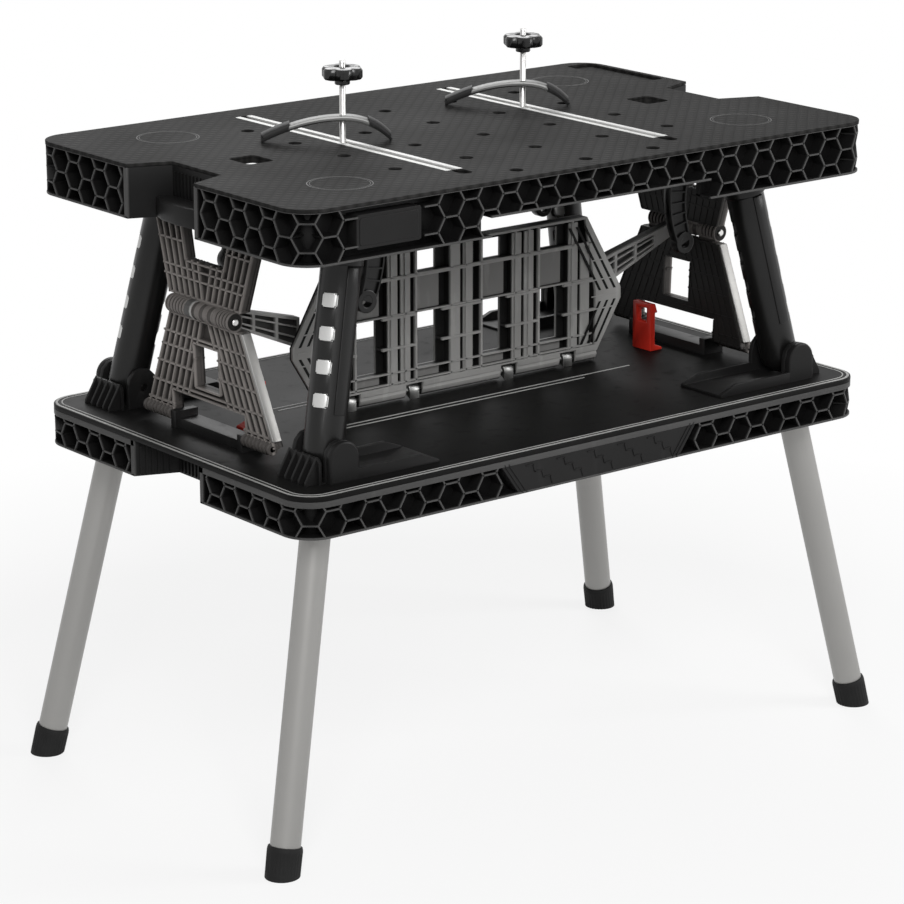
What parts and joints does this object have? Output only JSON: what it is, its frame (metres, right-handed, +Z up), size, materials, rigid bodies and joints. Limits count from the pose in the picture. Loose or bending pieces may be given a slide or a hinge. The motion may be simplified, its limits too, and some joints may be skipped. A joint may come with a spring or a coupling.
{
  "type": "folding workbench",
  "caption": "Folding workbench: moulded top and shelf joined by hinged end leaves and a centre panel, on splayed folding legs, with sliding hold-down clamps.",
  "frame": {"origin": "floor level, under the centre of the bench", "axes": "+X along the length to the right, +Y to the back, +Z up; metres"},
  "size_m": [0.933, 0.5322, 0.851],
  "materials": {
    "charcoal_deck": "fine woven grain",
    "black_plastic": "satin moulded",
    "leaf_plastic": "satin moulded",
    "panel_plastic": "satin moulded",
    "sleeve_plastic": "satin moulded",
    "aluminium": "satin drawn",
    "steel": "bright plated",
    "rubber": "matte",
    "red_plastic": "semi-gloss"
  },
  "bodies": {
    "shelf": {"shelf_top": "black_plastic", "shelf_front_rim": "black_plastic", "shelf_back_rim": "black_plastic", "shelf_left_rim": "black_plastic", "shelf_right_rim": "black_plastic", "front_left_bracket": "black_plastic", "front_right_bracket": "black_plastic", "back_left_bracket": "black_plastic", "back_right_bracket": "black_plastic", "panel_hinge_rod": "steel", "left_shelf_hinge": "black_plastic", "right_shelf_hinge": "black_plastic"},
    "left_lower": {"left_lower_leaf": "leaf_plastic", "left_leaf_strip": "aluminium"},
    "left_upper": {"left_upper_leaf": "leaf_plastic"},
    "deck": {"deck_top": "charcoal_deck", "deck_front_rim": "black_plastic", "deck_back_rim": "black_plastic", "deck_left_rim": "black_plastic", "deck_right_rim": "black_plastic", "left_clamp_rail": "aluminium", "right_clamp_rail": "aluminium", "front_left_hanger": "black_plastic", "front_right_hanger": "black_plastic", "back_left_hanger": "black_plastic", "back_right_hanger": "black_plastic"},
    "right_lower": {"right_lower_leaf": "leaf_plastic", "right_leaf_strip": "aluminium"},
    "right_upper": {"right_upper_leaf": "leaf_plastic"},
    "left_arm": {"left_elbow_arm": "panel_plastic"},
    "right_arm": {"right_elbow_arm": "panel_plastic"},
    "panel": {"centre_panel": "panel_plastic"},
    "front_left_sleeve": {"front_left_sleeve": "sleeve_plastic", "front_left_liner": "aluminium"},
    "front_right_sleeve": {"front_right_sleeve": "sleeve_plastic", "front_right_liner": "aluminium"},
    "back_left_sleeve": {"back_left_sleeve": "sleeve_plastic", "back_left_liner": "aluminium"},
    "back_right_sleeve": {"back_right_sleeve": "sleeve_plastic", "back_right_liner": "aluminium"},
    "front_left_hook": {"front_left_hook": "sleeve_plastic"},
    "front_right_hook": {"front_right_hook": "sleeve_plastic"},
    "back_left_hook": {"back_left_hook": "sleeve_plastic"},
    "back_right_hook": {"back_right_hook": "sleeve_plastic"},
    "front_left_leg": {"front_left_leg": "aluminium", "front_left_foot": "rubber"},
    "front_right_leg": {"front_right_leg": "aluminium", "front_right_foot": "rubber"},
    "back_left_leg": {"back_left_leg": "aluminium", "back_left_foot": "rubber"},
    "back_right_leg": {"back_right_leg": "aluminium", "back_right_foot": "rubber"},
    "left_carriage": {"left_clamp_rod": "steel"},
    "left_bar": {"left_clamp_bar": "steel"},
    "left_knob": {"left_clamp_knob": "rubber"},
    "left_latch": {"left_latch": "red_plastic"},
    "right_carriage": {"right_clamp_rod": "steel"},
    "right_bar": {"right_clamp_bar": "steel"},
    "right_knob": {"right_clamp_knob": "rubber"},
    "right_latch": {"right_latch": "red_plastic"}
  },
  "joints": [
    {"name": "left_lower_fold", "type": "hinge", "parent": "shelf", "child": "left_lower", "pos_m": [-0.365, 0, 0.453], "axis": [0, 1, 0], "range_deg": [0, 88.61]},
    {"name": "left_upper_fold", "type": "hinge", "parent": "left_lower", "child": "left_upper", "pos_m": [-0.36971, 0, 0.588], "axis": [0, -1, 0], "range_deg": [0, 177.26]},
    {"name": "deck_fold", "type": "hinge", "parent": "left_upper", "child": "deck", "pos_m": [-0.365, 0, 0.723], "axis": [0, 1, 0], "range_deg": [0, 88.66]},
    {"name": "right_lower_fold", "type": "hinge", "parent": "shelf", "child": "right_lower", "pos_m": [0.365, 0, 0.453], "axis": [0, -1, 0], "range_deg": [0, 88.66]},
    {"name": "right_upper_fold", "type": "hinge", "parent": "right_lower", "child": "right_upper", "pos_m": [0.36971, 0, 0.588], "axis": [0, 1, 0], "range_deg": [0, 177.26]},
    {"name": "left_arm_swing", "type": "hinge", "parent": "left_lower", "child": "left_arm", "pos_m": [-0.36971, 0, 0.588], "axis": [0, -1, 0], "range_deg": [0, 108.66]},
    {"name": "right_arm_swing", "type": "hinge", "parent": "right_lower", "child": "right_arm", "pos_m": [0.36971, 0, 0.588], "axis": [0, 1, 0], "range_deg": [0, 108.66]},
    {"name": "panel_fold", "type": "hinge", "parent": "shelf", "child": "panel", "pos_m": [0, 0, 0.447], "axis": [1, 0, 0], "range_deg": [0, 90.05]},
    {"name": "front_left_sleeve_fold", "type": "hinge", "parent": "shelf", "child": "front_left_sleeve", "pos_m": [-0.34676, -0.19538, 0.464], "axis": [0.0554, 0.9915, -0.1179], "range_deg": [0, 78.4]},
    {"name": "front_right_sleeve_fold", "type": "hinge", "parent": "shelf", "child": "front_right_sleeve", "pos_m": [0.34676, -0.19538, 0.464], "axis": [0.0554, -0.9915, 0.1179], "range_deg": [0, 78.4]},
    {"name": "back_left_sleeve_fold", "type": "hinge", "parent": "shelf", "child": "back_left_sleeve", "pos_m": [-0.34676, 0.19538, 0.464], "axis": [-0.0554, 0.9915, 0.1179], "range_deg": [0, 78.4]},
    {"name": "back_right_sleeve_fold", "type": "hinge", "parent": "shelf", "child": "back_right_sleeve", "pos_m": [0.34676, 0.19538, 0.464], "axis": [-0.0554, -0.9915, -0.1179], "range_deg": [0, 78.4]},
    {"name": "front_left_hook_swing", "type": "hinge", "parent": "deck", "child": "front_left_hook", "pos_m": [-0.254, -0.1325, 0.734], "axis": [0, 1, 0], "range_deg": [0, 94.35]},
    {"name": "front_right_hook_swing", "type": "hinge", "parent": "deck", "child": "front_right_hook", "pos_m": [0.254, -0.1325, 0.734], "axis": [0, -1, 0], "range_deg": [0, 94.35]},
    {"name": "back_left_hook_swing", "type": "hinge", "parent": "deck", "child": "back_left_hook", "pos_m": [-0.254, 0.1325, 0.734], "axis": [0, 1, 0], "range_deg": [0, 94.35]},
    {"name": "back_right_hook_swing", "type": "hinge", "parent": "deck", "child": "back_right_hook", "pos_m": [0.254, 0.1325, 0.734], "axis": [0, -1, 0], "range_deg": [0, 94.35]},
    {"name": "front_left_leg_fold", "type": "hinge", "parent": "shelf", "child": "front_left_leg", "pos_m": [-0.35853, -0.20126, 0.409], "axis": [0.1595, -0.9846, 0.0712], "range_deg": [0, 102.82]},
    {"name": "front_right_leg_fold", "type": "hinge", "parent": "shelf", "child": "front_right_leg", "pos_m": [0.35853, -0.20126, 0.409], "axis": [0, 0.9943, -0.1063], "range_deg": [0, 102.01]},
    {"name": "back_left_leg_fold", "type": "hinge", "parent": "shelf", "child": "back_left_leg", "pos_m": [-0.35853, 0.20126, 0.409], "axis": [0, -0.9943, -0.1063], "range_deg": [0, 102.01]},
    {"name": "back_right_leg_fold", "type": "hinge", "parent": "shelf", "child": "back_right_leg", "pos_m": [0.35853, 0.20126, 0.409], "axis": [-0.1595, 0.9846, 0.0712], "range_deg": [0, 102.82]},
    {"name": "left_carriage_slide", "type": "slide", "parent": "deck", "child": "left_carriage", "axis": [0, 1, 0], "range_m": [-0.194, 0.186]},
    {"name": "left_bar_slide", "type": "slide", "parent": "left_carriage", "child": "left_bar", "axis": [0, 0, 1], "range_m": [0, 0.03]},
    {"name": "left_knob_spin", "type": "hinge", "parent": "left_carriage", "child": "left_knob", "pos_m": [-0.154, 0.022, 0.84], "axis": [0, 0, 1], "continuous": true},
    {"name": "left_latch_swing", "type": "hinge", "parent": "shelf", "child": "left_latch", "pos_m": [-0.296, 0, 0.437], "axis": [0, 1, 0], "range_deg": [0, 6], "stiffness_Nm_per_rad": 1.5},
    {"name": "right_carriage_slide", "type": "slide", "parent": "deck", "child": "right_carriage", "axis": [0, 1, 0], "range_m": [-0.238, 0.142]},
    {"name": "right_bar_slide", "type": "slide", "parent": "right_carriage", "child": "right_bar", "axis": [0, 0, 1], "range_m": [0, 0.03]},
    {"name": "right_knob_spin", "type": "hinge", "parent": "right_carriage", "child": "right_knob", "pos_m": [0.154, 0.066, 0.84], "axis": [0, 0, 1], "continuous": true},
    {"name": "right_latch_swing", "type": "hinge", "parent": "shelf", "child": "right_latch", "pos_m": [0.296, 0, 0.437], "axis": [0, -1, 0], "range_deg": [0, 6], "stiffness_Nm_per_rad": 1.5}
  ],
  "couplings": [
    {"joint": "left_upper_fold", "follows": "left_lower_fold", "ratio": 2},
    {"joint": "deck_fold", "follows": "left_lower_fold", "ratio": 1},
    {"joint": "right_lower_fold", "follows": "left_lower_fold", "ratio": 1},
    {"joint": "right_upper_fold", "follows": "left_lower_fold", "ratio": 2},
    {"joint": "left_arm_swing", "follows": "left_lower_fold", "ratio": 1.2257},
    {"joint": "right_arm_swing", "follows": "left_lower_fold", "ratio": 1.2257},
    {"joint": "panel_fold", "follows": "left_lower_fold", "ratio": 1.0157},
    {"joint": "front_left_sleeve_fold", "follows": "left_lower_fold", "ratio": 0.8843},
    {"joint": "front_right_sleeve_fold", "follows": "left_lower_fold", "ratio": 0.8843},
    {"joint": "back_left_sleeve_fold", "follows": "left_lower_fold", "ratio": 0.8843},
    {"joint": "back_right_sleeve_fold", "follows": "left_lower_fold", "ratio": 0.8843},
    {"joint": "front_left_hook_swing", "follows": "left_lower_fold", "ratio": 1.0643},
    {"joint": "front_right_hook_swing", "follows": "left_lower_fold", "ratio": 1.0643},
    {"joint": "back_left_hook_swing", "follows": "left_lower_fold", "ratio": 1.0643},
    {"joint": "back_right_hook_swing", "follows": "left_lower_fold", "ratio": 1.0643}
  ]
}
